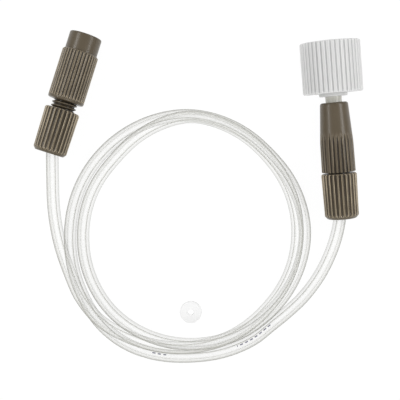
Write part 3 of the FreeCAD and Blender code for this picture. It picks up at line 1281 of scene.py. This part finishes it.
@dataclass(frozen=True)
class ClearLine:
    """The tube, from the bottom of the left port through its turns to the bottom of the right one.

    The leads are points of the row frame. A station of the turns is an angle in degrees around
    their middle, a radius and a height.
    """

    left: TubePort
    right: TubePort
    radius: float = 1.5875
    bore: float = 0.79
    end_gap: float = 0.1
    straight_depth: float = 7.9
    bend_depth: float = 2.55
    left_lead: tuple[Point, ...] = (
        (-37.03, 1.33, 4.7),
        (-36.83, -8.17, 4.72),
        (-35.18, -17.17, 4.76),
        (-32.28, -25.17, 4.8),
        (-29.98, -30.57, 4.8),
    )
    right_lead: tuple[Point, ...] = (
        (35.42, -15.17, 3.95),
        (32.22, -23.47, 2.9),
        (27.52, -30.37, 2.0),
        (22.32, -35.17, 1.62),
        (18.52, -38.17, 1.6),
    )
    middle: tuple[float, float] = (-2.08, -14.1)
    first_angle: float = 225.0
    last_angle: float = 1020.0
    points_a_turn: int = 24
    stations: tuple[Point, ...] = (
        (222.0, 32.2, 4.8), (238.0, 30.6, 4.8), (258.0, 29.5, 4.8), (270.0, 28.94, 4.8),
        (315.0, 27.24, 4.65), (360.0, 27.4, 4.2), (405.0, 27.74, 4.65), (450.0, 29.83, 4.78),
        (495.0, 27.04, 2.3), (540.0, 27.56, 1.6), (585.0, 28.6, 1.6), (630.0, 28.7, 1.6),
        (675.0, 28.95, 1.6), (720.0, 29.7, 1.6), (765.0, 28.7, 1.6), (810.0, 30.42, 1.6),
        (855.0, 30.54, 1.6), (900.0, 30.9, 1.6), (925.0, 31.7, 1.6), (945.0, 32.9, 1.6),
        (956.0, 33.2, 1.6), (970.0, 32.7, 1.6), (990.0, 31.75, 1.6), (1035.0, 32.0, 1.6),
    )
    inked_angles: tuple[Stretch, ...] = ((972.5, 979.0), (1012.5, 1032.0))
    sides: int = 24

    def turns(self) -> Grid:
        """Work out the points of the turns, between whose stations radius and height change evenly.

        The spline passes inside its points by the cosine of half a step, so they stand out by it.

        Returns:
            Points in millimetres, in order from the left.
        """
        step = 360.0 / self.points_a_turn
        angle = np.arange(self.first_angle, self.last_angle + 0.5 * step, step)
        known, radii, heights = np.array(self.stations).T
        proud = 1.0 / math.cos(math.radians(step / 2.0))
        radius = proud * np.interp(angle, known, radii)
        turn = np.radians(angle)
        x, y = self.middle
        return np.stack(
            [x + radius * np.cos(turn), y + radius * np.sin(turn), np.interp(angle, known, heights)], axis=1
        )

    def end_points(self, port: TubePort) -> Grid:
        """Place the tube's first points from one of its ports.

        Args:
            port: The port.

        Returns:
            Points in metres at the port's bottom, the end of the nut's grip and the start of the bend.
        """
        end = port.nut_end
        heights = (port.bottom + self.end_gap, end - self.straight_depth, end - self.bend_depth)
        return np.array([port.seat.on_line(height) for height in heights])

    def route(self) -> Grid:
        """Put the ends, the leads and the turns together.

        Returns:
            All control points from port bottom to port bottom, in metres.
        """
        lead_in, lead_out = np.array(self.left_lead), np.array(self.right_lead[::-1])
        turns = MM * np.vstack([lead_in, self.turns(), lead_out])
        return np.vstack([self.end_points(self.left), turns, self.end_points(self.right)[::-1]])

    def spline_points(self) -> Grid:
        """Read the points along a smooth spline whose control points are the route.

        Returns:
            Points in the row frame, in metres, in order from the left port.
        """
        route = self.route()
        curve = bpy.data.curves.new("tube_route", "CURVE")
        curve.dimensions = "3D"
        curve.resolution_u = 8
        spline = curve.splines.new("NURBS")
        spline.points.add(len(route) - 1)
        spline.points.foreach_set("co", np.column_stack([route, np.ones(len(route))]).ravel())
        spline.order_u = 3
        spline.use_endpoint_u = True
        carrier = new_object("tube_route", curve)
        line = bpy.data.meshes.new_from_object(carrier)
        points = np.empty(3 * len(line.vertices))
        line.vertices.foreach_get("co", points)
        bpy.data.objects.remove(carrier)
        bpy.data.curves.remove(curve)
        bpy.data.meshes.remove(line)
        return points.reshape(-1, 3)

    def build(self, finish: ClearFinish) -> None:
        """Sweep the tube's wall along the spline, chart it and dress it.

        A point of the wall is line + r (cos(a) side + sin(a) up), where side is level and square to
        the line and up is square to both. The rows run along the outside and back along the bore.

        Args:
            finish: The clear plastic.
        """
        line = self.spline_points()
        way = np.gradient(line, axis=0)
        way /= np.linalg.norm(way, axis=1)[:, None]
        side = np.cross(way, [0.0, 0.0, 1.0])
        side /= np.linalg.norm(side, axis=1)[:, None]
        up = np.cross(side, way)
        angle = (np.arange(self.sides) / self.sides - QUARTER) * FULL_TURN
        across, rise = (wave(angle)[None, :, None] for wave in (np.cos, np.sin))
        spokes = across * side[:, None, :] + rise * up[:, None, :]
        outside, inside = (line[:, None, :] + MM * radius * spokes for radius in (self.radius, self.bore))
        piece = ring_object("clear_line", np.concatenate([outside[::-1], inside]), {})
        steps = np.linalg.norm(np.diff(line, axis=0), axis=1)
        run = np.concatenate([[0.0], np.cumsum(steps)]) / MM
        self.chart(piece.data, np.concatenate([run[::-1], run]))
        inked = [self.runs_at(line, run, angles) for angles in self.inked_angles]
        ends = ("left_tube_end", "left_tube", "tube_coil", "right_tube", "right_tube_end")
        dress(piece, "line", finish.build(inked), *ends)
        self.left.seat.on_line(self.left.nut_end)

    def runs_at(self, line: Grid, run: Grid, angles: Stretch) -> Stretch:
        """Find where along the tube the turns pass two angles.

        Args:
            line: Points along the tube, in metres.
            run: The run at each point, in millimetres.
            angles: The angles, in degrees, as the stations count them.

        Returns:
            The run at each angle, in millimetres.
        """
        offset = line[:, :2] / MM - self.middle
        bearing = np.degrees(np.unwrap(np.arctan2(offset[:, 1], offset[:, 0])))
        return tuple(np.interp(angles, bearing, run).tolist())

    def chart(self, mesh: bpy.types.Mesh, run: Grid) -> None:
        """Give the mesh a UV map of the run in millimetres and the share of a turn, plus 1 in the bore.

        Args:
            mesh: The tube's mesh, with rows along it and columns around it.
            run: The run at each row.
        """
        rows = len(run)
        i, j = np.meshgrid(np.arange(rows), np.arange(self.sides), indexing="ij")
        next_run = np.where(i + 1 < rows, run[(i + 1) % rows], run[i])
        in_bore = 1.0 * (i >= rows // 2)
        share, next_share = j / self.sides + in_bore, (j + 1) / self.sides + in_bore
        corners = [(run[i], share), (run[i], next_share), (next_run, next_share), (next_run, share)]
        flat = np.stack([np.stack(corner, axis=-1) for corner in corners], axis=2)
        mesh.uv_layers.new(name="run").data.foreach_set("uv", flat.astype(np.float32).ravel())


# Camera, light and table


@dataclass(frozen=True)
class Lamp:
    """A flat lamp that faces the middle of the table."""

    x: float
    y: float
    height: float
    width: float
    length: float
    power: float

    def build(self, name: str) -> None:
        """Hang the lamp.

        Args:
            name: The lamp's name.
        """
        data = bpy.data.lights.new(name, "AREA")
        data.shape = "RECTANGLE"
        data.size = self.width * MM
        data.size_y = self.length * MM
        data.energy = self.power
        lamp = new_object(name, data)
        lamp.location = (self.x * MM, self.y * MM, self.height * MM)
        lamp.rotation_euler = (-lamp.location).to_track_quat("-Z", "Y").to_euler()


@dataclass(frozen=True)
class Studio:
    """A white table under soft light, with the camera straight above."""

    camera_x: float = 0.48
    camera_y: float = -5.6
    camera_height: float = 215.0
    view_width: float = 104.0
    sensor: float = 36.0
    nearest: float = 10.0
    farthest: float = 20000.0
    table_size: float = 3000.0
    paper: Colour = (0.85, 0.85, 0.85)
    table_glow: float = 1.04
    glow_share: float = 0.92
    sky: Colour = linear(250, 250, 250)
    sky_strength: float = 0.52
    lamps: tuple[Lamp, ...] = (
        Lamp(-150.0, 60.0, 140.0, width=166.0, length=36.0, power=0.12),
        Lamp(150.0, 60.0, 140.0, width=166.0, length=36.0, power=0.125),
        Lamp(0.0, -420.0, 330.0, width=300.0, length=160.0, power=0.9),
    )

    def build(self) -> None:
        """Set up the whole studio."""
        self.place_camera()
        self.light_sky()
        for number, lamp in enumerate(self.lamps):
            lamp.build(f"lamp_{number}")
        self.lay_table()
        bpy.context.scene.view_settings.view_transform = "Standard"

    def place_camera(self) -> None:
        """Hang the camera above the middle of the picture, at the lens that gives its width."""
        data = bpy.data.cameras.new("camera")
        data.sensor_width = self.sensor
        data.lens = self.sensor * self.camera_height / self.view_width
        data.clip_start = self.nearest * MM
        data.clip_end = self.farthest * MM
        camera = new_object("camera", data)
        camera.location = (self.camera_x * MM, self.camera_y * MM, self.camera_height * MM)
        bpy.context.scene.camera = camera

    def light_sky(self) -> None:
        """Give the sky its plain light, and make it white to the camera."""
        world = bpy.data.worlds.new("studio")
        bpy.context.scene.world = world
        world.use_nodes = True
        bench = Bench(world.node_tree)
        seen = bench.add("ShaderNodeLightPath").outputs["Is Camera Ray"]
        plain = bench.add("ShaderNodeBackground", {"Color": self.sky, "Strength": self.sky_strength})
        white = bench.add("ShaderNodeBackground", {"Color": (1.0, 1.0, 1.0)})
        mixed = bench.add("ShaderNodeMixShader", {0: seen, 1: plain.outputs[0], 2: white.outputs[0]})
        bench.add("ShaderNodeOutputWorld", {"Surface": mixed.outputs[0]})

    def lay_table(self) -> None:
        """Lay the table, which is white to the eye and keeps a faint shadow."""
        half = self.table_size * MM / 2.0
        mesh = bpy.data.meshes.new("table")
        corners = [(x * half, y * half, 0.0) for x, y in ((-1, -1), (1, -1), (1, 1), (-1, 1))]
        mesh.from_pydata(corners, [], [(0, 1, 2, 3)])
        table = new_object("table", mesh)
        material, bench = new_material("table_white")
        path = bench.add("ShaderNodeLightPath").outputs
        seen = bench.math("MAXIMUM", path["Is Camera Ray"], path["Is Glossy Ray"])
        seen = bench.math("MAXIMUM", seen, path["Is Transmission Ray"])
        share = bench.math("MULTIPLY", seen, self.glow_share)
        paper = bench.add("ShaderNodeBsdfDiffuse", {"Color": self.paper})
        glow = bench.add("ShaderNodeEmission", {"Strength": self.table_glow})
        mixed = bench.add("ShaderNodeMixShader", {0: share, 1: paper.outputs[0], 2: glow.outputs[0]})
        bench.add("ShaderNodeOutputMaterial", {"Surface": mixed.outputs[0]})
        mesh.materials.append(material)


@dataclass(frozen=True)
class Connector:
    """The whole set: both fittings, the tube and the washer."""

    left: TubePort
    right: TubePort

    def build(self) -> None:
        """Build every piece, from the tube to the washer."""
        tone = moulded_tone()
        finishes = (BROWN, FERRULE, PALE, WHITE, WASHER)
        brown, ferrule, pale, white, washer = (finish.build(tone) for finish in finishes)
        ClearLine(self.left, self.right).build(ClearFinish())
        LeftAdapter(self.left).build(brown)
        right_adapter = RightAdapter(self.right)
        right_adapter.build(brown)
        for side, port in (("left", self.left), ("right", self.right)):
            TubeNut(port, side).build(brown)
            Ferrule(port, side).build(ferrule)
        swivel = Swivel(right_adapter)
        swivel.build_nipple(pale)
        swivel.build_nut(white)
        SealingWasher().build(washer)


def main() -> None:
    """Build the studio and the connector."""
    logging.basicConfig(level=logging.INFO, format="%(message)s")
    Studio().build()
    left = TubePort(Seat.of_joint("left_nut_turn"), showing=2.3)
    right = TubePort(Seat.of_joint("right_nut_turn"), showing=0.4)
    Connector(left, right).build()


if __name__ == "__main__":
    main()
